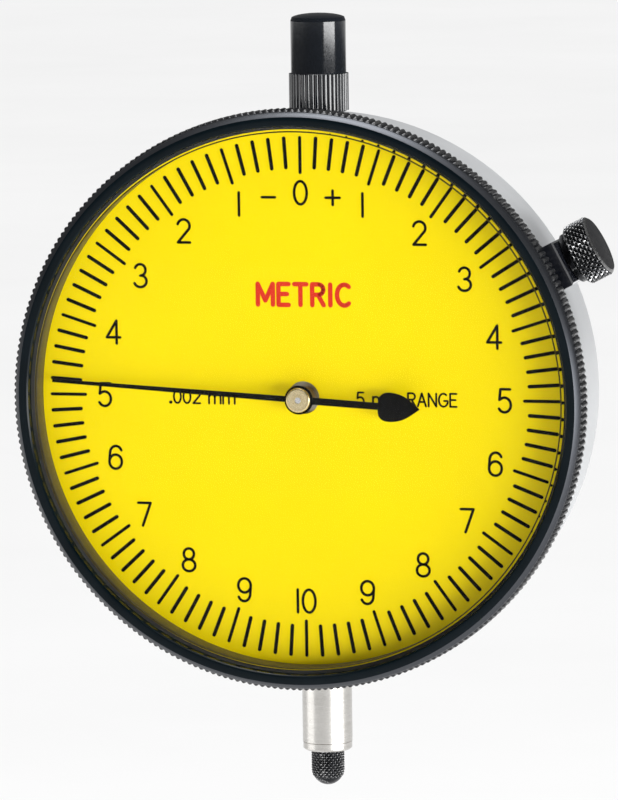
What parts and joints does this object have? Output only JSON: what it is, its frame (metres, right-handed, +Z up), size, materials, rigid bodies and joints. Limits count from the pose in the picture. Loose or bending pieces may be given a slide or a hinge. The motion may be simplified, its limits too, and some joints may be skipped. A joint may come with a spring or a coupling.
{
  "type": "dial indicator",
  "caption": "Round lug-back dial indicator with a sliding spindle, a geared hand over a yellow balanced dial, a turning knurled bezel with clamp, and a dust cap.",
  "frame": {"origin": "on the spindle axis at the lower end of the stem's clamping wall", "axes": "+Z up the spindle axis; the dial faces -Y; +X to the right as the dial is read"},
  "size_m": [0.0949, 0.0411, 0.1242],
  "materials": {
    "bezel_black": "gloss black enamel with a knurled edge",
    "case_silver": "fine satin silver-grey enamel",
    "turned_steel": "turned and ground bright steel",
    "black_oxide": "black oxide",
    "black_plastic": "moulded gloss black",
    "crystal_clear": "clear acrylic",
    "dial_yellow": "smooth yellow lacquer with black print",
    "hand_black": "matte black lacquer",
    "brass": "turned brass",
    "movement_nickel": "matte nickel plate",
    "screw_steel": "polished screw heads",
    "jewel_red": "polished synthetic ruby",
    "gasket_black": "soft black",
    "spring_steel": "blued spring steel"
  },
  "bodies": {
    "case": {"case_shell": "case_silver", "stem": "turned_steel", "stem_bush": "turned_steel", "top_bush": "turned_steel", "back_cover": "case_silver", "back_cover_screws": "screw_steel", "main_plate": "movement_nickel", "main_plate_screws": "screw_steel", "front_plate": "movement_nickel", "centre_bush": "brass", "plate_pillars": "movement_nickel", "front_plate_screws": "screw_steel", "rear_bridge": "movement_nickel", "bridge_posts": "movement_nickel", "bridge_screws": "screw_steel", "pivot_jewels": "jewel_red", "hairspring": "spring_steel", "hairspring_stud": "movement_nickel", "guide_fork": "movement_nickel", "spring_post": "movement_nickel", "bezel_spring": "spring_steel"},
    "spindle": {"spindle": "turned_steel", "contact_point": "black_oxide", "stop_collar": "turned_steel", "guide_arm": "brass", "guide_pin": "screw_steel", "spring_lug": "brass", "return_spring": "spring_steel"},
    "rack_arbor": {"rack_pinion": "screw_steel", "first_wheel": "brass"},
    "second_arbor": {"second_pinion": "screw_steel", "second_wheel": "brass"},
    "centre_arbor": {"centre_pinion": "screw_steel", "hand": "hand_black", "hand_collar": "brass", "hub_button": "brass"},
    "takeup_arbor": {"takeup_staff": "screw_steel", "takeup_wheel": "brass", "hairspring_collet": "brass"},
    "bezel": {"bezel_ring": "bezel_black", "crystal": "crystal_clear", "crystal_gasket": "gasket_black", "dial_face": "dial_yellow", "dial_ring": "brass"},
    "clamp_block": {"clamp_block": "black_oxide"},
    "clamp_screw": {"clamp_screw": "black_oxide"},
    "dust_cap": {"dust_cap": "black_plastic"}
  },
  "joints": [
    {"name": "hand_turn", "type": "hinge", "parent": "case", "child": "centre_arbor", "pos_m": [0, 0, 0.0571], "axis": [0, 1, 0], "range_deg": [0, 900]},
    {"name": "spindle_slide", "type": "slide", "parent": "case", "child": "spindle", "axis": [0, 0, 1], "range_m": [0, 0.0005], "stiffness_N_per_m": 60, "springref_m": -0.012, "deforming": ["return_spring"]},
    {"name": "rack_arbor_turn", "type": "hinge", "parent": "case", "child": "rack_arbor", "pos_m": [0.00314, 0, 0.0461], "axis": [0, 1, 0], "range_deg": [0, 18.02]},
    {"name": "second_arbor_turn", "type": "hinge", "parent": "case", "child": "second_arbor", "pos_m": [0.01089, 0, 0.05447], "axis": [0, 1, 0], "range_deg": [-128.62, 0]},
    {"name": "takeup_arbor_turn", "type": "hinge", "parent": "case", "child": "takeup_arbor", "pos_m": [-0.00811, 0, 0.05493], "axis": [0, 1, 0], "range_deg": [-180.1, 0]},
    {"name": "bezel_turn", "type": "hinge", "parent": "case", "child": "bezel", "pos_m": [0, 0, 0.0571], "axis": [0, 1, 0], "continuous": true},
    {"name": "clamp_block_slide", "type": "slide", "parent": "case", "child": "clamp_block", "axis": [-0.8878, 0, -0.4602], "range_m": [0, 0.00015]},
    {"name": "clamp_screw_turn", "type": "hinge", "parent": "clamp_block", "child": "clamp_screw", "pos_m": [0, -0.0076, 0.0571], "axis": [-0.8878, 0, -0.4602], "range_deg": [0, 108]},
    {"name": "dust_cap_lift", "type": "slide", "parent": "case", "child": "dust_cap", "axis": [0, 0, 1], "range_m": [0, 0.012]}
  ],
  "couplings": [
    {"joint": "hand_turn", "follows": "spindle_slide", "rad_per_m": 31416},
    {"joint": "rack_arbor_turn", "follows": "spindle_slide", "rad_per_m": 628.31},
    {"joint": "second_arbor_turn", "follows": "spindle_slide", "rad_per_m": -4487.9},
    {"joint": "takeup_arbor_turn", "follows": "spindle_slide", "rad_per_m": -6283.1},
    {"joint": "clamp_screw_turn", "follows": "clamp_block_slide", "rad_per_m": 12566}
  ]
}
